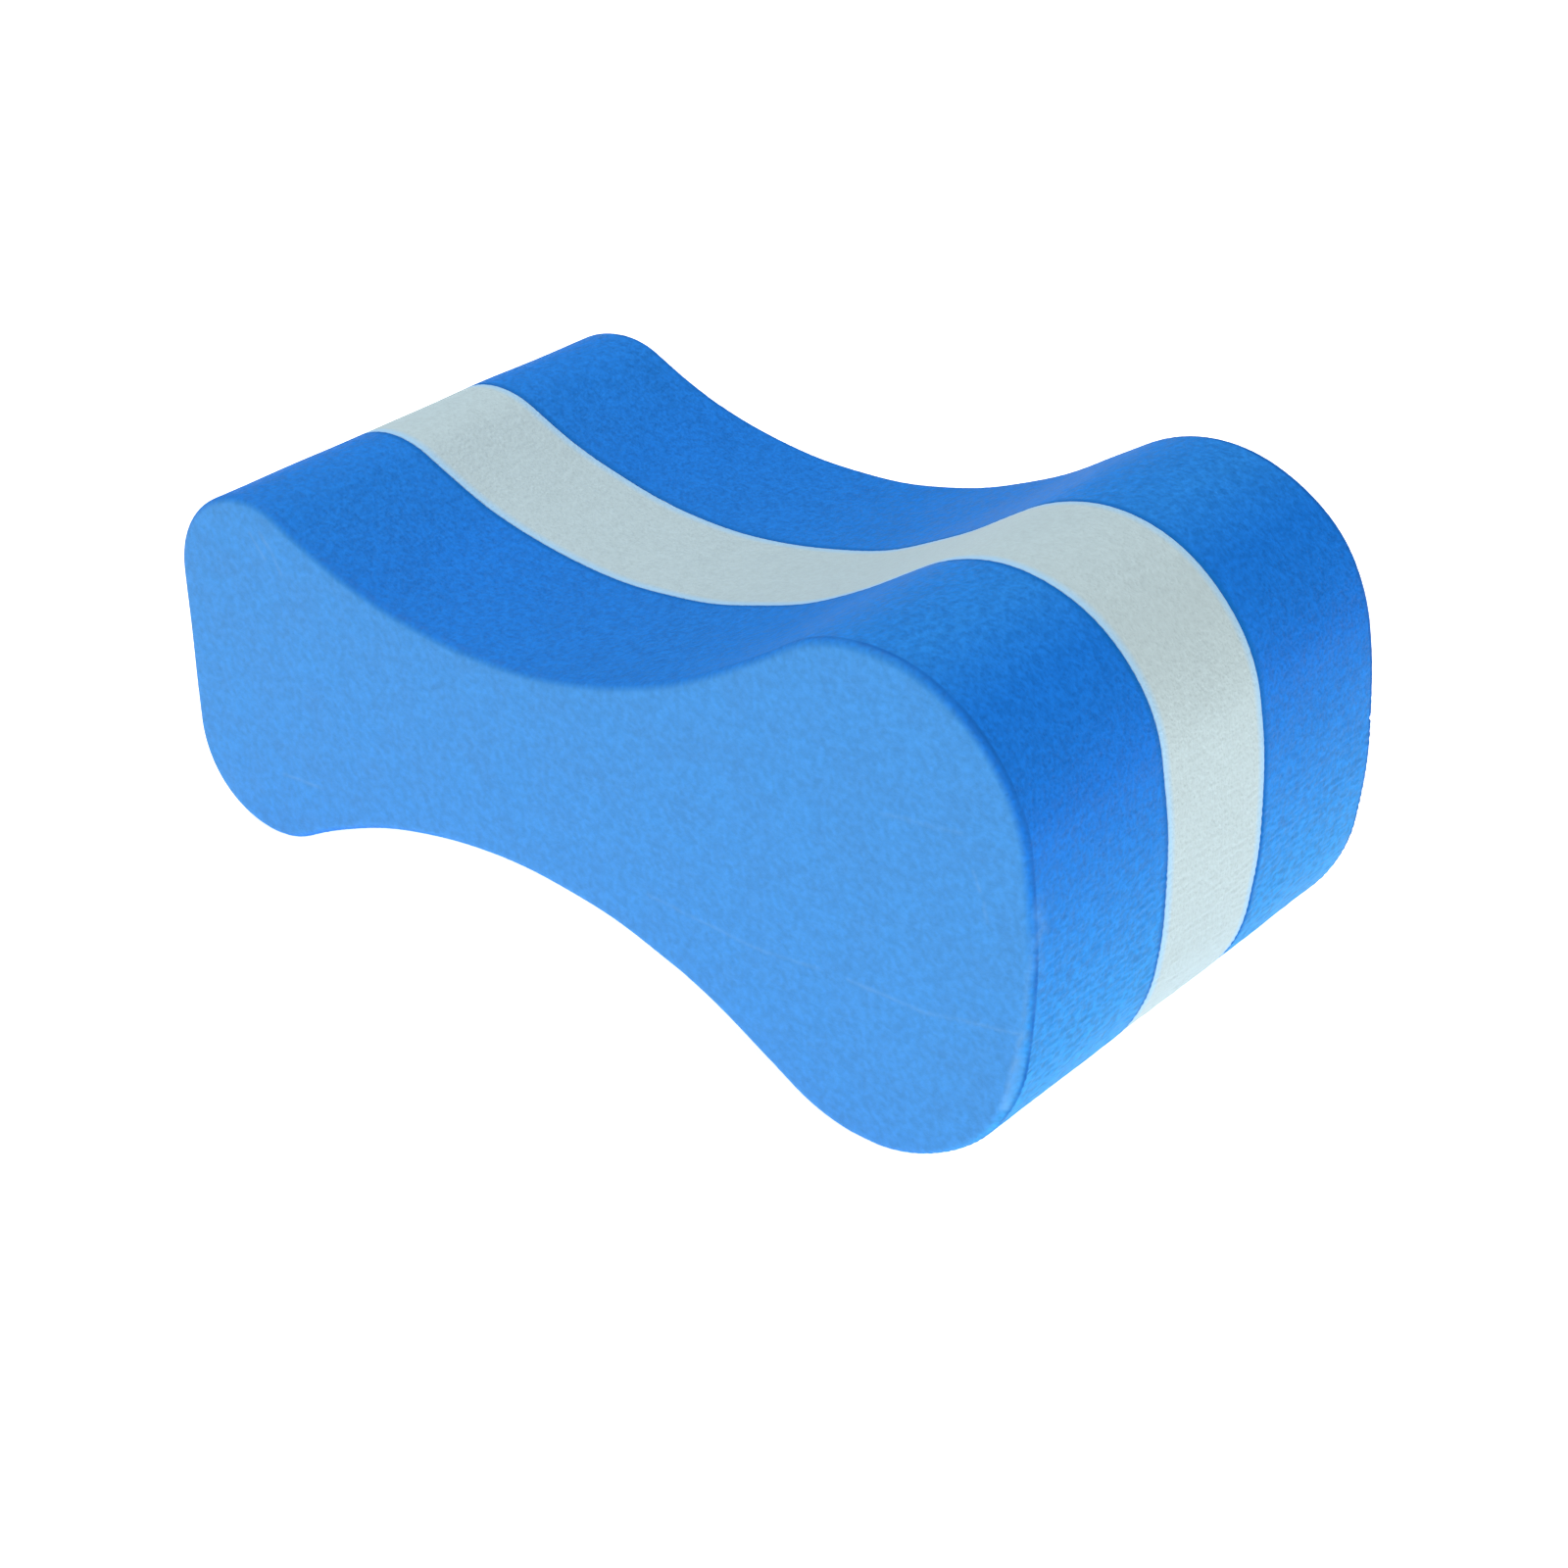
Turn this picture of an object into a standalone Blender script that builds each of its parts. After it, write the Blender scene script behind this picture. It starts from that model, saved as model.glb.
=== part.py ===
"""Pull buoy: a swimmer's leg float, cut from a block of three bonded foam slabs.

The long axis runs along X with the large lobe at +X, the slabs follow each other
along Y from the front face to the rear face, and +Z is up. The float stands on its
two lobes at Z = 0, with the middle of its box over the origin.
"""

import math

import bmesh
import bpy
from mathutils import Matrix, Vector

# Profile, symmetric about its long axis, in metres. Places along it are from mid-length.
LENGTH = 0.230
SMALL_LOBE_HEIGHT = 0.082
SMALL_LOBE_RADIUS = 0.0225
WAIST_HEIGHT = 0.047
WAIST_RADIUS = 0.128
WAIST_PLACE = -0.022
LARGE_LOBE_HEIGHT = 0.110
LARGE_LOBE_RADIUS = 0.0375
LARGE_LOBE_PLACE = 0.076
LARGE_END_RADIUS = 0.135

# Layers, front to rear, in metres.
FRONT_THICKNESS = 0.0455
CENTRE_THICKNESS = 0.034
REAR_THICKNESS = 0.0435
FILM_THICKNESS = 0.0004
FILM_INSET = 0.001
GAP = 0.0003

# Outer rims of the two faces, worn to a small round.
RIM_RADIUS = 0.002
RIM_STEPS = 3

# Largest distance between an arc and its chords.
CHORD_ERROR = 0.00003

CONVEX = 1
CONCAVE = -1

BLUE = (0.035, 0.205, 0.680, 1.0)
WHITE = (0.560, 0.680, 0.690, 1.0)
GLUE = (0.700, 0.640, 0.460, 1.0)
FOAM_ROUGHNESS = 0.85
GLUE_ROUGHNESS = 0.40


def clear_objects():
    for old in list(bpy.data.objects):
        bpy.data.objects.remove(old, do_unlink=True)


def profile_circles():
    """Centre, radius and turn of each arc over the top, from the small end to the large one."""
    small_radius = SMALL_LOBE_RADIUS
    large_radius = LARGE_LOBE_RADIUS
    small = Vector((small_radius - LENGTH / 2, SMALL_LOBE_HEIGHT / 2 - small_radius))
    waist = Vector((WAIST_PLACE, WAIST_HEIGHT / 2 + WAIST_RADIUS))
    large = Vector((LARGE_LOBE_PLACE, LARGE_LOBE_HEIGHT / 2 - large_radius))
    end = Vector((LENGTH / 2 - LARGE_END_RADIUS, 0.0))
    return [
        (small, small_radius, CONVEX),
        (waist, WAIST_RADIUS, CONCAVE),
        (large, large_radius, CONVEX),
        (end, LARGE_END_RADIUS, CONVEX),
    ]


def tangent_normal(first, second):
    """Inward normal of the straight line that leaves one arc and joins the next."""
    (start, start_radius, start_turn), (stop, stop_radius, stop_turn) = first, second
    across = stop - start
    lean = (stop_turn * stop_radius - start_turn * start_radius) / across.length
    angle = math.atan2(across.y, across.x) - math.acos(lean)
    return Vector((math.cos(angle), math.sin(angle)))


def arc_points(circle, normal_in, normal_out):
    """Points along an arc between two inward normals, close enough for CHORD_ERROR."""
    centre, radius, turn = circle
    begin = math.atan2(-turn * normal_in.y, -turn * normal_in.x)
    sweep = math.atan2(-turn * normal_out.y, -turn * normal_out.x) - begin
    sweep = (sweep + math.pi) % (2 * math.pi) - math.pi
    widest_step = 2 * math.acos(1 - CHORD_ERROR / radius)
    steps = math.ceil(abs(sweep) / widest_step)
    points = []
    for index in range(steps + 1):
        angle = begin + sweep * index / steps
        points.append(centre + radius * Vector((math.cos(angle), math.sin(angle))))
    return points


def profile_points():
    """The closed outline, clockwise from the bottom of the flat small end."""
    circles = profile_circles()
    normals = [Vector((1.0, 0.0))]
    normals += [tangent_normal(a, b) for a, b in zip(circles[:-1], circles[1:])]
    normals.append(Vector((-1.0, 0.0)))
    upper = []
    for circle, normal_in, normal_out in zip(circles, normals[:-1], normals[1:]):
        upper += arc_points(circle, normal_in, normal_out)
    lower = [Vector((point.x, -point.y)) for point in reversed(upper[:-1])]
    return upper + lower


def inset_points(points, distance):
    """The outline moved inwards by a small distance."""
    moved = []
    count = len(points)
    for index, point in enumerate(points):
        along = points[(index + 1) % count] - points[index - 1]
        inward = Vector((along.y, -along.x)).normalized()
        moved.append(point + distance * inward)
    return moved


def standing_tilt():
    """Turn about the thickness that brings both lobes down onto the ground."""
    small, _, large, _ = profile_circles()
    across = large[0] - small[0]
    level = math.atan2(across.y, across.x)
    return level + math.asin((large[1] - small[1]) / across.length)


def standing_frame():
    """Empty that carries the whole float: tilted, on the ground and centred."""
    frame = bpy.data.objects.new("standing_frame", None)
    bpy.context.scene.collection.objects.link(frame)
    turn = Matrix.Rotation(-standing_tilt(), 4, "Y")
    turned = [turn @ Vector((point.x, 0.0, point.y)) for point in profile_points()]
    lengthwise = [point.x for point in turned]
    centre_x = (min(lengthwise) + max(lengthwise)) / 2
    lowest = min(point.z for point in turned)
    lift = Matrix.Translation((-centre_x, 0.0, -lowest))
    frame.matrix_world = lift @ turn
    return frame


def foam(name, colour):
    return surface(name, colour, FOAM_ROUGHNESS)


def surface(name, colour, roughness):
    material = bpy.data.materials.new(name)
    material.use_nodes = True
    material.diffuse_color = colour
    shader = material.node_tree.nodes["Principled BSDF"]
    shader.inputs["Base Color"].default_value = colour
    shader.inputs["Roughness"].default_value = roughness
    shader.inputs["Metallic"].default_value = 0.0
    return material


def extruded_mesh(name, points, thickness, rounded_face=None):
    """Prism of an outline, from Y = 0 to Y = thickness, with one rim rounded if asked."""
    shape = bmesh.new()
    corners = [shape.verts.new((point.x, 0.0, point.y)) for point in points]
    face = shape.faces.new(corners)
    grown = bmesh.ops.extrude_face_region(shape, geom=[face])["geom"]
    far = [item for item in grown if isinstance(item, bmesh.types.BMVert)]
    bmesh.ops.translate(shape, verts=far, vec=(0.0, thickness, 0.0))
    bmesh.ops.recalc_face_normals(shape, faces=shape.faces)
    if rounded_face is not None:
        level = {"front": 0.0, "rear": thickness}[rounded_face]
        rim = [
            edge
            for edge in shape.edges
            if all(abs(vert.co.y - level) < GAP for vert in edge.verts)
        ]
        bmesh.ops.bevel(
            shape,
            geom=rim,
            offset=RIM_RADIUS,
            segments=RIM_STEPS,
            profile=0.5,
            affect="EDGES",
        )
    mesh = bpy.data.meshes.new(name)
    shape.to_mesh(mesh)
    shape.free()
    mesh.shade_smooth()
    mesh.set_sharp_from_angle(angle=math.radians(35))
    return mesh


def place(name, mesh, material, depth, frame):
    """Put a layer into the stack, its near face at the given depth from the middle."""
    layer = bpy.data.objects.new(name, mesh)
    bpy.context.scene.collection.objects.link(layer)
    mesh.materials.append(material)
    layer.parent = frame
    layer.location.y = depth
    return layer


def build():
    clear_objects()
    frame = standing_frame()
    outline = profile_points()
    film_outline = inset_points(outline, FILM_INSET)
    layers = [
        ("front_slab", outline, FRONT_THICKNESS, "front", foam("blue_front", BLUE)),
        ("front_glue_film", film_outline, FILM_THICKNESS, None,
         surface("front_glue", GLUE, GLUE_ROUGHNESS)),
        ("centre_slab", outline, CENTRE_THICKNESS, None, foam("white_centre", WHITE)),
        ("rear_glue_film", film_outline, FILM_THICKNESS, None,
         surface("rear_glue", GLUE, GLUE_ROUGHNESS)),
        ("rear_slab", outline, REAR_THICKNESS, "rear", foam("blue_rear", BLUE)),
    ]
    total = sum(layer[2] for layer in layers) + GAP * (len(layers) - 1)
    depth = -total / 2
    for name, points, thickness, rounded_face, material in layers:
        mesh = extruded_mesh(name, points, thickness, rounded_face)
        place(name, mesh, material, depth, frame)
        depth += thickness + GAP


build()
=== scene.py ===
import math
import random

import bpy
import numpy as np
from mathutils import Matrix, Vector


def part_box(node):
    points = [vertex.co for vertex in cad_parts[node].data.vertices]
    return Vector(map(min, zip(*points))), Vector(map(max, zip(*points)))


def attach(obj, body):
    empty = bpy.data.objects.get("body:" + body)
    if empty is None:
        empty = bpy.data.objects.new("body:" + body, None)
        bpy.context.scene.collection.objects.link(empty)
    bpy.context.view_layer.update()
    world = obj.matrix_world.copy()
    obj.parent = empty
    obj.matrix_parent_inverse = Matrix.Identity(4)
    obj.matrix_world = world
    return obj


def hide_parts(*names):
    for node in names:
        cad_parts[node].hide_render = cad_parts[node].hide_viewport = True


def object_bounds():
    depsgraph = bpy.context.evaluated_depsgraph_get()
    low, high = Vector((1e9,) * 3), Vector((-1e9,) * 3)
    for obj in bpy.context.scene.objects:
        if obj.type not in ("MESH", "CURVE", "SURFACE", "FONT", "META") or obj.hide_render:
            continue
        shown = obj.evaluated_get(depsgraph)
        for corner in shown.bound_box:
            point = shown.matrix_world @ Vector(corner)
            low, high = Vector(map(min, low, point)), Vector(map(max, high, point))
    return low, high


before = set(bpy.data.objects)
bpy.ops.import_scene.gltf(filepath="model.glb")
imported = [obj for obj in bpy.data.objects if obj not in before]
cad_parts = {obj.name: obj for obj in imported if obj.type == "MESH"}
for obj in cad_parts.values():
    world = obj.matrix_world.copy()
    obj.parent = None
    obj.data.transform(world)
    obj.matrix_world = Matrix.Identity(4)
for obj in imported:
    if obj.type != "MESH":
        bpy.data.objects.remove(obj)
CAD_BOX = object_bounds()

# Profile of the float in metres, as in the CAD: symmetric about its long axis, with
# places along it counted from mid-length.
LENGTH = 0.230
SMALL_LOBE_HEIGHT = 0.082
SMALL_LOBE_RADIUS = 0.0225
WAIST_HEIGHT = 0.047
WAIST_RADIUS = 0.128
WAIST_PLACE = -0.022
LARGE_LOBE_HEIGHT = 0.110
LARGE_LOBE_RADIUS = 0.0375
LARGE_LOBE_PLACE = 0.076
LARGE_END_RADIUS = 0.135
CONVEX = 1
CONCAVE = -1
ARC_STEP = math.radians(0.25)

# Mesh of the slabs and the glue, in metres: spacing round the outline and through a slab,
# rounding of the outer rims and of the edges at a bond, room left each side of a bond, the
# glue's inset, how a face sinks towards its rim, and how far onto it the relief runs.
STATION_STEP = 0.0004
ROW_STEP = 0.0015
RIM_RADIUS = 0.0020
RIM_STEPS = 7
BOND_RADIUS = 0.00018
BOND_STEPS = 2
BOND_INSET = 0.0015
BOND_GAP = 0.00006
FILM_INSET = 0.00045
FILM_WANDER = 0.0001
FACE_INSETS = (0.0110, 0.0085, 0.0065, 0.0050, 0.0038, 0.0029, 0.0024)
PILLOW_DEPTH = 0.00012
PILLOW_REACH = 0.008
RELIEF_INSET = 0.003

# Steps round an outer rim, from the face, between which the pressed skin runs out.
SKIN_START = 0.6
SKIN_END = 4.8

# Unevenness of the cut: heights in metres, and waves as (seed, shortest wave, longest wave,
# how many, greatest slant). Drag marks come in along X and fade out up Z.
SAW_HEIGHT = 0.000010
SAW_WAVES = (11, 0.0016, 0.0046, 18, 0.05)
DRAG_HEIGHT = 0.000040
DRAG_WAVES = (41, 0.0015, 0.0026, 22, 0.30)
DRAG_REACH = (0.075, 0.105)
DRAG_TOP = (0.085, 0.045)
SWELL_HEIGHT = 0.00009
SWELL_WAVES = (5, 0.022, 0.090, 9, 0.8)
WANDER_WAVES = (23, 0.012, 0.060, 7, 1.2)

# Wear of the outer rims, in metres: a corner knocked low on the large end of the front face,
# a nick in the rear rim of that end, and how much wear brings in the painted rim highlight.
RIM_WEAR = 0.0011
RIM_WEAR_SWING = 0.00012
KNOCK_HEIGHTS = (0.017, 0.024, 0.036, 0.047)
KNOCK_CUT = 0.0020
NICK_HEIGHT = 0.0600
NICK_REACH = 0.0012
NICK_CUT = 0.0021
WEAR_REACH = 0.004
WORN_START = 0.00015
WORN_FULL = 0.0005

# Foam colours, linear, and how far the grain swings them.
BLUE_CUT = (0.007, 0.174, 0.685)
# Painted groove shade on the blue along the bonds.
BLUE_SEAM_SHADE = (0.003, 0.150, 0.540)
# Painted floor bounce light and sheen on the blue cut sides.
BLUE_PAINTED_LIGHT = (0.046, 0.340, 0.790)
BLUE_SKIN = (0.061, 0.316, 0.785)
WHITE_CUT = (0.515, 0.645, 0.685)
# Painted blue bounce light on the white along the bonds.
WHITE_SEAM_BOUNCE = (0.400, 0.670, 0.930)
# Pale blue of scratches and scuffs, also used for the painted rim highlights.
SCUFF_AND_HIGHLIGHT_COLOUR = (0.170, 0.420, 0.800)
BLUE_CONTRAST = 0.20
PAINTED_LIGHT_CONTRAST = 0.24
WHITE_CONTRAST = 0.06
SKIN_CONTRAST = 0.16
GLUE_COLOURS = ((0.42, 0.52, 0.58), (0.55, 0.63, 0.66))

# Grain of the cut foam: sizes in metres, and weights of the grains in its tone (cell, fine,
# mottle, cloud; under the painted light: dash, fine, mottle) and height (cell, fine, grit;
# under the painted light: that height, dash).
CELL = 0.0009
CELL_RANGE = (0.10, 0.65)
FINE_MOTTLE = 0.0010
MOTTLE = 0.0020
CLOUD = 0.028
GRIT = 0.00035
DASH = 0.0012
DASH_STRETCH = (1.0, 0.48, 1.0)
DASH_RANGE = (0.36, 0.64)
CUT_TONE = (0.20, 0.30, 0.35, 0.15)
PAINTED_LIGHT_TONE = (0.55, 0.20, 0.25)
CUT_RELIEF = (0.55, 0.25, 0.30)
PAINTED_LIGHT_RELIEF = (0.6, 0.6)

# Grain of the pressed skin: sizes in metres, and weights of the grains in its tone
# (fine, mottle, cloud, pore) and height (fine, pore).
PORE = 0.0023
PORE_RANGE = (0.0, 0.14)
SKIN_FINE = 0.0010
SKIN_ROUGH = 0.6
SKIN_MOTTLE = 0.0017
SKIN_CLOUD = 0.0060
SKIN_TONE = (0.30, 0.35, 0.20, 0.15)
SKIN_RELIEF = (0.30, 0.25)

# Ranges of a noise that are stretched to 0 to 1.
FINE_RANGE = (0.35, 0.65)
BROAD_RANGE = (0.30, 0.70)

# Where the cut sides are painted paler, in metres: painted floor bounce light low on the large
# end, and painted sheen, faint at the small end and growing along the waist towards the crown of
# the large lobe.
BOUNCE_LIGHT_HEIGHT = (0.086, 0.018)
BOUNCE_LIGHT_REACH = (0.080, 0.108)
SMALL_END_SHEEN_REACH = (-0.020, -0.095)
SMALL_END_SHEEN_SHARE = 0.20
WAIST_SHEEN_REACH = (-0.080, 0.065)
WAIST_SHEEN_SHARE = (0.08, 0.31)
WAIST_SHEEN_STOP = (0.096, 0.079)

# Tints: lines along the bonds, a painted groove shade on the blue and a painted blue bounce light
# on the white, whose reach is in metres and whose core has the full tint, and a painted shade line
# round the outer rims, patchy and fainter towards the small end.
WHITE_SEAM_BOUNCE_REACH = 0.0026
BLUE_SEAM_SHADE_REACH = 0.0018
BOND_CORE = 0.25
# Painted shade line round the outer rims:
RIM_SHADE_DARKEN = 0.74
RIM_SHADE_BAND = (0.64, 0.92)
RIM_SHADE_PATCH = 0.009
RIM_SHADE_PATCH_LEAST = 0.5
RIM_SHADE_REACH = (0.020, 0.070)
RIM_SHADE_REACH_LEAST = 0.25
SKIN_BAND = (0.1, 0.9)
# Painted highlight tint on the worn rims:
RIM_HIGHLIGHT_TINT = 0.28

# Marks on the front face: polylines of (x, z) in metres, half width, strength. Most are scratches
# and scuffs; the two down the front rim of the large end are a painted rim highlight.
FACE_MARKS_AND_HIGHLIGHT = [
    ([(0.022, 0.033), (0.053, 0.0333), (0.066, 0.0357)], 0.00036, 0.26),
    ([(0.0735, 0.0366), (0.092, 0.0375), (0.1145, 0.0434)], 0.00036, 0.34),
    ([(-0.0896, 0.0756), (-0.0860, 0.0722), (-0.0835, 0.0680)], 0.00045, 0.40),
    ([(-0.0930, 0.0748), (-0.0885, 0.0700)], 0.00035, 0.30),
    ([(-0.0847, 0.0174), (-0.0723, 0.0188)], 0.00035, 0.35),
    ([(0.0788, 0.0769), (0.0968, 0.0804)], 0.00040, 0.22),
    # Painted highlight down the front rim of the large end, not scratches:
    ([(0.1137, 0.0728), (0.1145, 0.0600), (0.1144, 0.0440)], 0.00045, 0.30),
    ([(0.1144, 0.0440), (0.1134, 0.0350), (0.1116, 0.0240)], 0.00055, 0.50),
    ([(0.1005, 0.0735), (0.1022, 0.0700)], 0.00035, 0.40),
    ([(0.1035, 0.0680), (0.1040, 0.0640)], 0.00035, 0.35),
]
MARK_SHAKE = 0.0012
MARK_SHAKE_SIZE = 0.004
MARK_BREAK_SIZE = 0.0035
MARK_BREAK_RANGE = (0.35, 0.60)
MARK_BREAK_LEAST = 0.35
MARK_DEPTHS = (-0.0560, -0.0590)

# Finish of the foam and the glue.
CUT_ROUGHNESS = (0.60, 0.76)
SKIN_ROUGHNESS = (0.50, 0.62)
BUMP_STRENGTH = 0.6
BUMP_REACH = 0.00025
FOAM_IOR = 1.45
FOAM_SPECULAR = 0.16
GLUE_PATCH = 0.004
GLUE_ROUGHNESS = (0.35, 0.55)

# Camera: places in the frame's metres, lens and sensor in millimetres.
CAMERA_PLACE = Vector((0.38767, -0.49792, 0.40656))
CAMERA_TARGET = Vector((0.01336, -0.00766, 0.03165))
CAMERA_ROLL = math.radians(3.13)
CAMERA_LENS = 76.6
CAMERA_SENSOR = 36.0
CAMERA_CLIP = 0.01

# Studio lights: name, place, side in metres, watts, colour. All point at LIGHT_AIM.
SOFTBOXES = [
    ("left_softbox", (-0.80, 0.00, 1.15), 1.0, 14.6, (0.94, 0.97, 1.0)),
    ("right_softbox", (0.95, -0.30, 0.72), 1.0, 8.3, (1.0, 0.96, 0.91)),
    ("top_softbox", (0.00, 0.00, 1.40), 1.0, 2.9, (1.0, 1.0, 1.0)),
]
LIGHT_AIM = Vector((0.0, 0.0, 0.05))

# Glowing floor and the pale wall round it.
FLOOR_HALF = 12.0
FLOOR_GAP = 0.0003
FLOOR_COLOUR = (0.80, 0.80, 0.80)
FLOOR_ROUGHNESS = 0.9
FLOOR_GLOW = 0.955
WALL_RADIUS = 9.0
WALL_FOOT = -0.01
WALL_TOP = 9.0
WALL_SIDES = 64
WALL_GLOW = 0.99


# --- shape --------------------------------------------------------------------------


def profile_circles():
    """Centre, radius and turn of each arc over the top, from the small end to the large one."""
    small_radius = SMALL_LOBE_RADIUS
    large_radius = LARGE_LOBE_RADIUS
    small = Vector((small_radius - LENGTH / 2, SMALL_LOBE_HEIGHT / 2 - small_radius))
    waist = Vector((WAIST_PLACE, WAIST_HEIGHT / 2 + WAIST_RADIUS))
    large = Vector((LARGE_LOBE_PLACE, LARGE_LOBE_HEIGHT / 2 - large_radius))
    end = Vector((LENGTH / 2 - LARGE_END_RADIUS, 0.0))
    return [
        (small, small_radius, CONVEX),
        (waist, WAIST_RADIUS, CONCAVE),
        (large, large_radius, CONVEX),
        (end, LARGE_END_RADIUS, CONVEX),
    ]


def tangent_normal(first, second):
    """Inward normal of the straight line that leaves one arc and joins the next."""
    (start, start_radius, start_turn), (stop, stop_radius, stop_turn) = first, second
    across = stop - start
    lean = (stop_turn * stop_radius - start_turn * start_radius) / across.length
    angle = math.atan2(across.y, across.x) - math.acos(lean)
    return Vector((math.cos(angle), math.sin(angle)))


def arc_points(circle, normal_in, normal_out):
    """Points along one arc, from where the outline has one normal to where it has the other."""
    centre, radius, turn = circle
    begin = math.atan2(-turn * normal_in.y, -turn * normal_in.x)
    sweep = math.atan2(-turn * normal_out.y, -turn * normal_out.x) - begin
    sweep = (sweep + math.pi) % (2 * math.pi) - math.pi
    angles = begin + sweep * np.linspace(0.0, 1.0, math.ceil(abs(sweep) / ARC_STEP) + 1)
    return np.array(centre) + radius * np.stack([np.cos(angles), np.sin(angles)], axis=1)


def standing_tilt():
    """Turn that brings both lobes down onto the ground."""
    small, _, large, _ = profile_circles()
    across = large[0] - small[0]
    return math.atan2(across.y, across.x) + math.asin((large[1] - small[1]) / across.length)


def stand(points):
    """Profile points turned into the frame's X and Z."""
    tilt = standing_tilt()
    x, z = points[:, 0], points[:, 1]
    return np.stack(
        [x * math.cos(tilt) - z * math.sin(tilt), x * math.sin(tilt) + z * math.cos(tilt)],
        axis=1,
    )


def outline():
    """Evenly spaced stations round the standing profile.

    Gives their places, outward normals and shares of the way round, and the perimeter.
    """
    circles = profile_circles()
    normals = [Vector((1.0, 0.0))]
    normals += [tangent_normal(a, b) for a, b in zip(circles[:-1], circles[1:])]
    normals.append(Vector((-1.0, 0.0)))
    arcs = zip(circles, normals[:-1], normals[1:])
    upper = np.concatenate([arc_points(*arc) for arc in arcs])
    lower = upper[-2::-1] * [1.0, -1.0]
    ring = stand(np.concatenate([upper, lower]))
    low, high = CAD_BOX
    middle = (ring[:, 0].min() + ring[:, 0].max()) / 2
    ring += [(low.x + high.x) / 2 - middle, low.z - ring[:, 1].min()]
    closed = np.vstack([ring, ring[:1]])
    steps = np.linalg.norm(np.diff(closed, axis=0), axis=1)
    travelled = np.concatenate([[0.0], np.cumsum(steps)])
    count = round(travelled[-1] / STATION_STEP)
    along = np.arange(count) / count
    places = np.stack(
        [np.interp(along * travelled[-1], travelled, closed[:, axis]) for axis in (0, 1)],
        axis=1,
    )
    heading = np.roll(places, -1, axis=0) - np.roll(places, 1, axis=0)
    heading /= np.linalg.norm(heading, axis=1)[:, None]
    outward = np.stack([-heading[:, 1], heading[:, 0]], axis=1)
    return places, outward, along, travelled[-1]


PLACES, OUTWARD, ALONG, PERIMETER = outline()


def closed_waves(seed, shortest, longest, count, slant):
    """Sine waves that each fit a whole number of times round the outline."""
    dice = random.Random(seed)
    waves = []
    for _ in range(count):
        length = math.exp(dice.uniform(math.log(shortest), math.log(longest)))
        phase = dice.uniform(0, 2 * math.pi)
        waves.append((round(PERIMETER / length), phase, dice.uniform(-slant, slant)))
    return waves


def sum_waves(waves, depth):
    """Height of the summed waves at every station at one depth, with a spread of about 1."""
    height = np.zeros(len(ALONG))
    for turns, phase, slant in waves:
        height += np.sin(2 * np.pi * turns * (ALONG + slant * depth / PERIMETER) + phase)
    return height / math.sqrt(len(waves) / 2)


def ramp(values, start, stop):
    """0 at start and before, 1 at stop and beyond, with eased ends."""
    share = np.clip((values - start) / (stop - start), 0.0, 1.0)
    return share * share * (3 - 2 * share)


SAW = closed_waves(*SAW_WAVES)
DRAG = closed_waves(*DRAG_WAVES)
SWELL = closed_waves(*SWELL_WAVES)
WANDER = closed_waves(*WANDER_WAVES)
DRAG_SHARE = ramp(PLACES[:, 0], *DRAG_REACH) * ramp(PLACES[:, 1], *DRAG_TOP)


def cut_relief(depth):
    """How far the cut side stands out of the true profile at a depth, in metres."""
    saw = SAW_HEIGHT * sum_waves(SAW, depth)
    drag = DRAG_HEIGHT * DRAG_SHARE * sum_waves(DRAG, depth)
    return saw + drag + SWELL_HEIGHT * sum_waves(SWELL, depth)


def corner_wear():
    """How far each rim is worn back at every station: front rim, rear rim."""
    base = RIM_WEAR + RIM_WEAR_SWING * sum_waves(WANDER, 0.0)
    at_end = PLACES[:, 0] > DRAG_REACH[0]
    height = PLACES[:, 1]
    bottom, full, fade, top = KNOCK_HEIGHTS
    knock = at_end * ramp(height, bottom, full) * ramp(height, top, fade)
    nick = at_end * np.exp(-(((height - NICK_HEIGHT) / NICK_REACH) ** 2))
    return np.maximum(base, KNOCK_CUT * knock), np.maximum(base, NICK_CUT * nick)


FRONT_WEAR, REAR_WEAR = corner_wear()


def quarter_round(radius, steps):
    """(inset, depth) down a quarter round, from the face to the side."""
    rows = []
    for step in range(steps + 1):
        angle = math.pi / 2 * step / steps
        rows.append((radius * (1 - math.sin(angle)), radius * (1 - math.cos(angle))))
    return rows


def edge_rows(is_open):
    """(inset, depth, skin, rim) from a face to the side, on an outer rim or else at a bond."""
    if not is_open:
        turn = quarter_round(BOND_RADIUS, BOND_STEPS)
        return [(BOND_INSET, 0.0, 0.0, 0.0)] + [(inset, depth, 0.0, 0.0) for inset, depth in turn]
    rows = []
    for inset in FACE_INSETS:
        reach = max(0.0, 1 - (inset - RIM_RADIUS) / PILLOW_REACH)
        rows.append((inset, PILLOW_DEPTH * reach**2, 1.0, 0.0))
    for index, (inset, depth) in enumerate(quarter_round(RIM_RADIUS, RIM_STEPS)):
        skin = min(1.0, max(0.0, (SKIN_END - index) / (SKIN_END - SKIN_START)))
        sunk = depth + PILLOW_DEPTH * (1 - index / RIM_STEPS)
        rows.append((inset, sunk, skin, index / RIM_STEPS))
    return rows


def slab_rows(front, rear, front_open, rear_open):
    """Rings from near the middle of the front face, over the side, to the rear face.

    Each ring is (inset, depth, skin, rim): inset from the outline, Y, 1 where the pressed
    skin of the block is left on, and 1 at the end of the turn of an outer rim.
    """
    first = [(inset, front + depth, *masks) for inset, depth, *masks in edge_rows(front_open)]
    last = [(inset, rear - depth, *masks) for inset, depth, *masks in edge_rows(rear_open)]
    start, stop = first[-1][1], last[-1][1]
    count = max(2, round((stop - start) / ROW_STEP))
    depths = [start + (stop - start) * index / count for index in range(1, count)]
    return first + [(0.0, depth, 0.0, 0.0) for depth in depths] + last[::-1]


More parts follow.
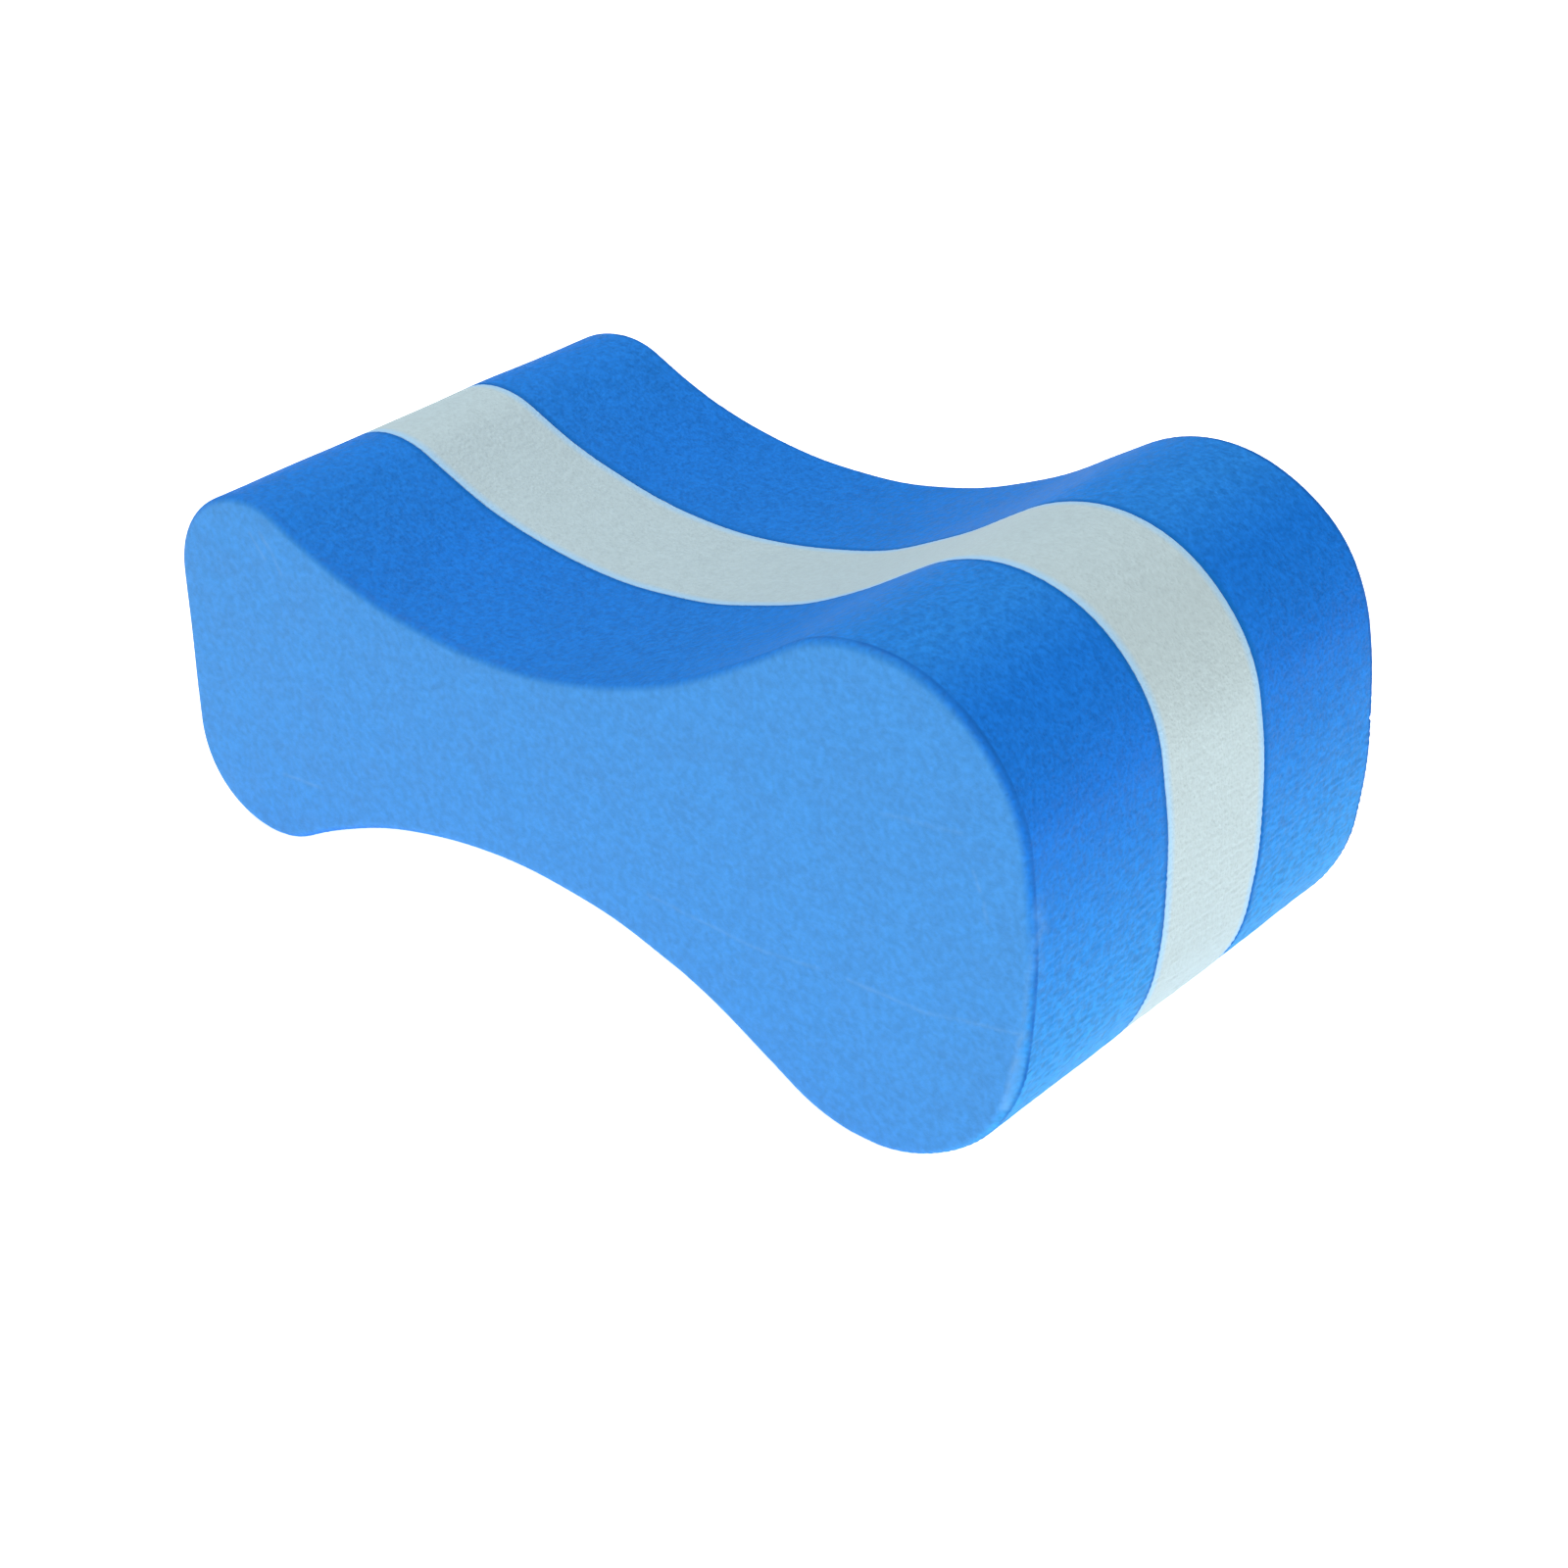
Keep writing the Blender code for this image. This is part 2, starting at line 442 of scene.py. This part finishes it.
def add_mesh(name, rings, masks, material):
    """Closed body from rings of equal length, capped at both ends, with named masks."""
    count = len(ALONG)
    vertices = np.concatenate(rings)
    faces = []
    for ring in range(len(rings) - 1):
        here, there = ring * count, (ring + 1) * count
        for station in range(count):
            following = (station + 1) % count
            faces.append((here + station, here + following, there + following, there + station))
    faces.append(tuple(range(count - 1, -1, -1)))
    faces.append(tuple(range((len(rings) - 1) * count, len(rings) * count)))
    mesh = bpy.data.meshes.new(name)
    mesh.from_pydata(vertices.tolist(), [], faces)
    for mask_name, values in masks.items():
        mask = mesh.attributes.new(mask_name, "FLOAT", "POINT")
        mask.data.foreach_set("value", np.concatenate(values).astype(np.float32))
    mesh.shade_smooth()
    mesh.materials.append(material)
    piece = bpy.data.objects.new(name, mesh)
    bpy.context.scene.collection.objects.link(piece)
    return piece


def add_slab(name, front, rear, front_open, rear_open, material):
    """One foam slab between two depths, with a worn rim on each open face."""
    rings = []
    masks = {"skin": [], "rim": [], "worn": []}
    for inset, depth, skin, rim in slab_rows(front, rear, front_open, rear_open):
        share = max(0.0, 1 - inset / RELIEF_INSET)
        lost = np.zeros(len(ALONG))
        shift = np.zeros(len(ALONG))
        if front_open and depth - front < WEAR_REACH:
            lost = np.maximum(0.0, FRONT_WEAR - inset - (depth - front)) / 2
            shift = lost
        if rear_open and rear - depth < WEAR_REACH:
            lost = np.maximum(0.0, REAR_WEAR - inset - (rear - depth)) / 2
            shift = -lost
        stand_out = cut_relief(depth) * share - inset - lost
        flat = PLACES + OUTWARD * stand_out[:, None]
        rings.append(np.stack([flat[:, 0], depth + shift, flat[:, 1]], axis=1))
        masks["skin"].append(np.full(len(ALONG), skin))
        masks["rim"].append(np.full(len(ALONG), rim))
        masks["worn"].append(ramp(lost, WORN_START, WORN_FULL))
    return add_mesh(name, rings, masks, material)


def add_glue(name, bond, material):
    """Thin film in the middle of a bond, set in from the outline by an uneven amount."""
    rings = []
    for depth in (bond - BOND_GAP / 2, bond + BOND_GAP / 2):
        inset = FILM_INSET + FILM_WANDER * sum_waves(WANDER, depth)
        flat = PLACES - OUTWARD * inset[:, None]
        rings.append(np.stack([flat[:, 0], np.full(len(flat), depth), flat[:, 1]], axis=1))
    return add_mesh(name, rings, {}, material)


# --- material nodes -----------------------------------------------------------------


def new_material(name):
    material = bpy.data.materials.new(name)
    material.use_nodes = True
    tree = material.node_tree
    tree.nodes.clear()
    output = tree.nodes.new("ShaderNodeOutputMaterial")
    shader = tree.nodes.new("ShaderNodeBsdfPrincipled")
    tree.links.new(shader.outputs["BSDF"], output.inputs["Surface"])
    return material, tree, shader


def plug(tree, socket, value):
    """Link a socket to a socket, or set it to a value."""
    if isinstance(value, bpy.types.NodeSocket):
        tree.links.new(value, socket)
    else:
        socket.default_value = value


def math_node(tree, operation, *values, clamp=False):
    node = tree.nodes.new("ShaderNodeMath")
    node.operation = operation
    node.use_clamp = clamp
    for socket, value in zip(node.inputs, values):
        plug(tree, socket, value)
    return node.outputs[0]


def vector_node(tree, operation, *values, scale=None):
    node = tree.nodes.new("ShaderNodeVectorMath")
    node.operation = operation
    for socket, value in zip(node.inputs, values):
        plug(tree, socket, value)
    if scale is not None:
        plug(tree, node.inputs["Scale"], scale)
    return node.outputs["Value" if operation in ("DOT_PRODUCT", "LENGTH") else "Vector"]


def noise(tree, place, size, detail=2.0, rough=0.5, output="Fac"):
    node = tree.nodes.new("ShaderNodeTexNoise")
    plug(tree, node.inputs["Vector"], place)
    node.inputs["Scale"].default_value = 1 / size
    node.inputs["Detail"].default_value = detail
    node.inputs["Roughness"].default_value = rough
    return node.outputs[output]


def cells(tree, place, size):
    """Distance to the middle of the nearest cell."""
    node = tree.nodes.new("ShaderNodeTexVoronoi")
    plug(tree, node.inputs["Vector"], place)
    node.inputs["Scale"].default_value = 1 / size
    return node.outputs["Distance"]


def spread(tree, value, low, high, to_low=0.0, to_high=1.0):
    """Stretch a value from one range to another, and hold it at the ends."""
    node = tree.nodes.new("ShaderNodeMapRange")
    plug(tree, node.inputs["Value"], value)
    node.inputs["From Min"].default_value = low
    node.inputs["From Max"].default_value = high
    node.inputs["To Min"].default_value = to_low
    node.inputs["To Max"].default_value = to_high
    return node.outputs["Result"]


def blend_colour(tree, factor, first, second):
    node = tree.nodes.new("ShaderNodeMix")
    node.data_type = "RGBA"
    plug(tree, node.inputs["Factor"], factor)
    colours = [socket for socket in node.inputs if socket.type == "RGBA"]
    plug(tree, colours[0], first)
    plug(tree, colours[1], second)
    return [socket for socket in node.outputs if socket.type == "RGBA"][0]


def blend_value(tree, factor, first, second):
    return math_node(
        tree, "ADD",
        math_node(tree, "MULTIPLY", math_node(tree, "SUBTRACT", 1.0, factor), first),
        math_node(tree, "MULTIPLY", factor, second),
    )


def scaled(colour, factor=1.0):
    """A colour made lighter or darker, with its alpha."""
    return tuple(min(1.0, channel * factor) for channel in colour) + (1.0,)


def swung(tree, tone, colour, contrast):
    """A colour that swings from dark to light by a contrast as the tone goes from 0 to 1."""
    return blend_colour(tree, tone, scaled(colour, 1 - contrast), scaled(colour, 1 + contrast))


def total(tree, values, weights):
    """Weighted sum."""
    whole = None
    for value, weight in zip(values, weights):
        share = math_node(tree, "MULTIPLY", value, weight)
        whole = share if whole is None else math_node(tree, "ADD", whole, share)
    return whole


def axis(tree, place, letter):
    node = tree.nodes.new("ShaderNodeSeparateXYZ")
    plug(tree, node.inputs[0], place)
    return node.outputs[letter]


def mesh_mask(tree, name):
    node = tree.nodes.new("ShaderNodeAttribute")
    node.attribute_name = name
    return node.outputs["Fac"]


def object_place(tree):
    return tree.nodes.new("ShaderNodeTexCoord").outputs["Object"]


# --- foam and glue ------------------------------------------------------------------


def painted_light_share(tree, place):
    """Share of painted light on the cut side: 1 for the bounce light low on the large end, less
    for the sheen at the small end and towards the large lobe's crown.
    """
    along = axis(tree, place, "X")
    low = spread(tree, axis(tree, place, "Z"), *BOUNCE_LIGHT_HEIGHT)
    at_end = math_node(tree, "MULTIPLY", low, spread(tree, along, *BOUNCE_LIGHT_REACH))
    small_end_sheen = spread(tree, along, *SMALL_END_SHEEN_REACH, 0.0, SMALL_END_SHEEN_SHARE)
    waist_sheen = spread(tree, along, *WAIST_SHEEN_REACH, *WAIST_SHEEN_SHARE)
    waist_sheen = math_node(tree, "MULTIPLY", waist_sheen, spread(tree, along, *WAIST_SHEEN_STOP))
    sheen = math_node(tree, "MAXIMUM", small_end_sheen, waist_sheen)
    return math_node(tree, "MAXIMUM", at_end, sheen)


def near_bond(tree, place, bonds, reach):
    """1 at a glued joint, falling to 0 at reach."""
    depth = axis(tree, place, "Y")
    nearest = None
    for bond in bonds:
        away = math_node(tree, "ABSOLUTE", math_node(tree, "SUBTRACT", depth, bond))
        nearest = away if nearest is None else math_node(tree, "MINIMUM", nearest, away)
    return spread(tree, nearest, reach, reach * BOND_CORE)


def near_line(tree, place, start, stop, reach):
    """1 on the straight line from start to stop across the front face, 0 beyond reach."""
    begin = Vector((start[0], 0.0, start[1]))
    run = Vector((stop[0], 0.0, stop[1])) - begin
    flat = vector_node(tree, "MULTIPLY", place, (1.0, 0.0, 1.0))
    offset = vector_node(tree, "SUBTRACT", flat, begin)
    along = vector_node(tree, "DOT_PRODUCT", offset, run / run.length_squared)
    along = math_node(tree, "ADD", along, 0.0, clamp=True)
    on_line = vector_node(tree, "SCALE", run, scale=along)
    gap = vector_node(tree, "LENGTH", vector_node(tree, "SUBTRACT", offset, on_line))
    return spread(tree, gap, reach, 0.0)


def marks_and_rim_highlight(tree, place):
    """Scratches, scuffs and a painted rim highlight of the front face, 0 to 1, shaken and broken
    up by noise.
    """
    shake = noise(tree, place, MARK_SHAKE_SIZE, output="Color")
    shake = vector_node(tree, "SUBTRACT", shake, (0.5, 0.5, 0.5))
    shaken = vector_node(tree, "ADD", place, vector_node(tree, "SCALE", shake, scale=MARK_SHAKE))
    breaks = spread(tree, noise(tree, place, MARK_BREAK_SIZE), *MARK_BREAK_RANGE,
                    MARK_BREAK_LEAST, 1.0)
    whole = None
    for points, half_width, strength in FACE_MARKS_AND_HIGHLIGHT:
        for start, stop in zip(points[:-1], points[1:]):
            line = near_line(tree, shaken, start, stop, half_width * 2)
            line = math_node(tree, "MULTIPLY", line, strength)
            whole = line if whole is None else math_node(tree, "MAXIMUM", whole, line)
    front = spread(tree, axis(tree, place, "Y"), *MARK_DEPTHS)
    return math_node(tree, "MULTIPLY", math_node(tree, "MULTIPLY", whole, breaks), front)


def cut_foam(tree, place, colour, contrast, pale):
    """Colour, height and roughness of foam sliced open by the cutter."""
    bowl = spread(tree, cells(tree, place, CELL), *CELL_RANGE)
    fine = spread(tree, noise(tree, place, FINE_MOTTLE, 1.0), *FINE_RANGE)
    mottle = spread(tree, noise(tree, place, MOTTLE, 1.0), *FINE_RANGE)
    cloud = spread(tree, noise(tree, place, CLOUD), *BROAD_RANGE)
    grit = noise(tree, place, GRIT)
    tone = total(tree, (bowl, fine, mottle, cloud), CUT_TONE)
    shade = swung(tree, tone, colour, contrast)
    height = total(tree, (bowl, fine, grit), CUT_RELIEF)
    # Painted floor bounce light and sheen: the cut side turns paler, with drag dashes in it.
    if pale is not None:
        dragged = vector_node(tree, "MULTIPLY", place, DASH_STRETCH)
        dash = spread(tree, noise(tree, dragged, DASH, 1.0), *DASH_RANGE)
        tone = total(tree, (dash, fine, mottle), PAINTED_LIGHT_TONE)
        share = painted_light_share(tree, place)
        shade = blend_colour(tree, share, shade, swung(tree, tone, pale, PAINTED_LIGHT_CONTRAST))
        height = blend_value(tree, share, height, total(tree, (height, dash), PAINTED_LIGHT_RELIEF))
    return shade, height, spread(tree, mottle, 0.0, 1.0, *CUT_ROUGHNESS)


def pressed_skin(tree, place, colour):
    """Colour, height and roughness of the smooth skin left on the face of the block."""
    pores = spread(tree, cells(tree, place, PORE), *PORE_RANGE)
    fine = spread(tree, noise(tree, place, SKIN_FINE, 2.0, SKIN_ROUGH), *FINE_RANGE)
    mottle = spread(tree, noise(tree, place, SKIN_MOTTLE, 1.0), *FINE_RANGE)
    cloud = spread(tree, noise(tree, place, SKIN_CLOUD), *BROAD_RANGE)
    tone = total(tree, (fine, mottle, cloud, pores), SKIN_TONE)
    height = total(tree, (fine, pores), SKIN_RELIEF)
    rough = spread(tree, cloud, 0.0, 1.0, *SKIN_ROUGHNESS)
    return swung(tree, tone, colour, SKIN_CONTRAST), height, rough


def painted_rim_shade(tree, place):
    """Painted shade: a darker line where the rim meets the side, patchy and strongest on the large
    lobe.
    """
    band = spread(tree, mesh_mask(tree, "rim"), *RIM_SHADE_BAND)
    patch = spread(tree, noise(tree, place, RIM_SHADE_PATCH, 1.0), *BROAD_RANGE, RIM_SHADE_PATCH_LEAST, 1.0)
    lobe = spread(tree, axis(tree, place, "X"), *RIM_SHADE_REACH, RIM_SHADE_REACH_LEAST, 1.0)
    return math_node(tree, "MULTIPLY", math_node(tree, "MULTIPLY", band, patch), lobe)


def foam_material(name, cut_colour, contrast, bonds, seam_paint_colour, seam_paint_reach, pale=None,
                  skin=None, marked=False):
    """Closed-cell foam: sliced cells on the cut sides and, if given, a pressed skin."""
    material, tree, shader = new_material(name)
    place = object_place(tree)
    colour, height, rough = cut_foam(tree, place, cut_colour, contrast, pale)
    # Painted light and shade along the bonds: groove shade on the blue, blue bounce light on the
    # white.
    bond = near_bond(tree, place, bonds, seam_paint_reach)
    colour = blend_colour(tree, bond, colour, scaled(seam_paint_colour))
    if skin is not None:
        # Painted shade along the turn of the outer rims.
        rim_shade = painted_rim_shade(tree, place)
        colour = blend_colour(tree, rim_shade, colour, scaled(cut_colour, RIM_SHADE_DARKEN))
        skin_shade, skin_height, skin_rough = pressed_skin(tree, place, skin)
        share = spread(tree, mesh_mask(tree, "skin"), *SKIN_BAND)
        colour = blend_colour(tree, share, colour, skin_shade)
        height = blend_value(tree, share, height, skin_height)
        rough = blend_value(tree, share, rough, skin_rough)
        # Painted highlight: the worn rims are tinted paler.
        worn = math_node(tree, "MULTIPLY", mesh_mask(tree, "worn"), RIM_HIGHLIGHT_TINT)
        colour = blend_colour(tree, worn, colour, scaled(SCUFF_AND_HIGHLIGHT_COLOUR))
    if marked:
        # Scratches, scuffs and a painted rim highlight, paler and pressed into the bump.
        marks_and_highlight = marks_and_rim_highlight(tree, place)
        colour = blend_colour(tree, marks_and_highlight, colour, scaled(SCUFF_AND_HIGHLIGHT_COLOUR))
        height = math_node(tree, "SUBTRACT", height, marks_and_highlight)
    bump = tree.nodes.new("ShaderNodeBump")
    bump.inputs["Strength"].default_value = BUMP_STRENGTH
    bump.inputs["Distance"].default_value = BUMP_REACH
    plug(tree, bump.inputs["Height"], height)
    plug(tree, shader.inputs["Base Color"], colour)
    plug(tree, shader.inputs["Roughness"], rough)
    plug(tree, shader.inputs["Normal"], bump.outputs["Normal"])
    shader.inputs["IOR"].default_value = FOAM_IOR
    shader.inputs["Specular IOR Level"].default_value = FOAM_SPECULAR
    return material


def glue_material():
    """Cured contact adhesive, unevenly spread."""
    material, tree, shader = new_material("glue")
    patch = noise(tree, object_place(tree), GLUE_PATCH, 3.0)
    thin, thick = GLUE_COLOURS
    plug(tree, shader.inputs["Base Color"], blend_colour(tree, patch, scaled(thin), scaled(thick)))
    rough = spread(tree, patch, *BROAD_RANGE, *GLUE_ROUGHNESS)
    plug(tree, shader.inputs["Roughness"], rough)
    return material


# --- the float ----------------------------------------------------------------------


def build_float():
    """Three foam slabs and the two films of glue that hold them together."""
    front_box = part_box("front_slab")
    centre_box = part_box("centre_slab")
    rear_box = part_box("rear_slab")
    front_bond = (front_box[1].y + centre_box[0].y) / 2
    rear_bond = (centre_box[1].y + rear_box[0].y) / 2
    bonds = (front_bond, rear_bond)
    front_blue = foam_material("blue_foam_front", BLUE_CUT, BLUE_CONTRAST, bonds, BLUE_SEAM_SHADE,
                               BLUE_SEAM_SHADE_REACH, BLUE_PAINTED_LIGHT, BLUE_SKIN, marked=True)
    rear_blue = foam_material("blue_foam_rear", BLUE_CUT, BLUE_CONTRAST, bonds, BLUE_SEAM_SHADE,
                              BLUE_SEAM_SHADE_REACH, BLUE_PAINTED_LIGHT, BLUE_SKIN)
    white = foam_material("white_foam", WHITE_CUT, WHITE_CONTRAST, bonds, WHITE_SEAM_BOUNCE,
                          WHITE_SEAM_BOUNCE_REACH)
    slabs = [
        ("front_foam", "front_slab", "blue_foam", front_blue,
         front_box[0].y, front_bond - BOND_GAP, True, False),
        ("centre_foam", "centre_slab", "white_foam", white,
         front_bond + BOND_GAP, rear_bond - BOND_GAP, False, False),
        ("rear_foam", "rear_slab", "blue_foam", rear_blue,
         rear_bond + BOND_GAP, rear_box[1].y, False, True),
    ]
    for name, node, slot, material, front, rear, front_open, rear_open in slabs:
        piece = add_slab(name, front, rear, front_open, rear_open, material)
        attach(piece, "root")
        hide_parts(node)
    glue = glue_material()
    for name, node, bond in (("front_glue", "front_glue_film", front_bond),
                             ("rear_glue", "rear_glue_film", rear_bond)):
        film = add_glue(name, bond, glue)
        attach(film, "root")
        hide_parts(node)


# --- studio -------------------------------------------------------------------------


def add_camera():
    forward = (CAMERA_TARGET - CAMERA_PLACE).normalized()
    level = forward.cross(Vector((0.0, 0.0, 1.0))).normalized()
    rise = level.cross(forward)
    right = math.cos(CAMERA_ROLL) * level + math.sin(CAMERA_ROLL) * rise
    up = math.cos(CAMERA_ROLL) * rise - math.sin(CAMERA_ROLL) * level
    turn = Matrix((right, up, -forward)).transposed().to_4x4()
    lens = bpy.data.cameras.new("camera")
    lens.lens = CAMERA_LENS
    lens.sensor_width = CAMERA_SENSOR
    lens.clip_start = CAMERA_CLIP
    camera = bpy.data.objects.new("camera", lens)
    camera.matrix_world = Matrix.Translation(CAMERA_PLACE) @ turn
    bpy.context.scene.collection.objects.link(camera)
    bpy.context.scene.camera = camera


def add_backing(name, corners, faces, material):
    """Part of the studio, which isn't part of the object."""
    mesh = bpy.data.meshes.new(name)
    mesh.from_pydata(corners, [], faces)
    mesh.materials.append(material)
    backing = bpy.data.objects.new(name, mesh)
    bpy.context.scene.collection.objects.link(backing)
    return backing


def glowing_material(name, colour, glow):
    """Surface that shines by itself and has no gloss."""
    material, _, shader = new_material(name)
    shader.inputs["Base Color"].default_value = scaled(colour)
    shader.inputs["Specular IOR Level"].default_value = 0.0
    shader.inputs["Emission Color"].default_value = (1.0, 1.0, 1.0, 1.0)
    shader.inputs["Emission Strength"].default_value = glow
    material.cycles.emission_sampling = "NONE"
    return material, shader


def add_floor():
    level = CAD_BOX[0].z - FLOOR_GAP
    corners = [(x * FLOOR_HALF, y * FLOOR_HALF, level)
               for x, y in ((-1, -1), (1, -1), (1, 1), (-1, 1))]
    material, shader = glowing_material("studio_white", FLOOR_COLOUR, FLOOR_GLOW)
    shader.inputs["Roughness"].default_value = FLOOR_ROUGHNESS
    add_backing("studio_floor", corners, [(0, 1, 2, 3)], material)


def add_backdrop():
    """Pale wall all round, seen by the camera only, so it lights nothing."""
    corners = []
    for level in (WALL_FOOT, WALL_TOP):
        for side in range(WALL_SIDES):
            angle = 2 * math.pi * side / WALL_SIDES
            corners.append((WALL_RADIUS * math.cos(angle), WALL_RADIUS * math.sin(angle), level))
    walls = []
    for side in range(WALL_SIDES):
        following = (side + 1) % WALL_SIDES
        walls.append((side, following, WALL_SIDES + following, WALL_SIDES + side))
    material, _ = glowing_material("studio_wall", (0.0, 0.0, 0.0), WALL_GLOW)
    wall = add_backing("studio_wall", corners, walls, material)
    wall.visible_diffuse = False
    wall.visible_glossy = False
    wall.visible_transmission = False
    wall.visible_shadow = False


def add_softbox(name, place, size, energy, colour):
    lamp = bpy.data.lights.new(name, "AREA")
    lamp.shape = "SQUARE"
    lamp.size = size
    lamp.energy = energy
    lamp.color = colour
    softbox = bpy.data.objects.new(name, lamp)
    softbox.location = place
    softbox.rotation_euler = (LIGHT_AIM - softbox.location).to_track_quat("-Z", "Y").to_euler()
    bpy.context.scene.collection.objects.link(softbox)


def add_world():
    """Unlit room: the lamps and the glowing floor do the lighting."""
    world = bpy.data.worlds.new("studio")
    world.use_nodes = True
    world.node_tree.nodes["Background"].inputs["Strength"].default_value = 0.0
    bpy.context.scene.world = world
    bpy.context.scene.view_settings.view_transform = "Standard"


add_camera()
add_floor()
add_backdrop()
for softbox in SOFTBOXES:
    add_softbox(*softbox)
add_world()
build_float()
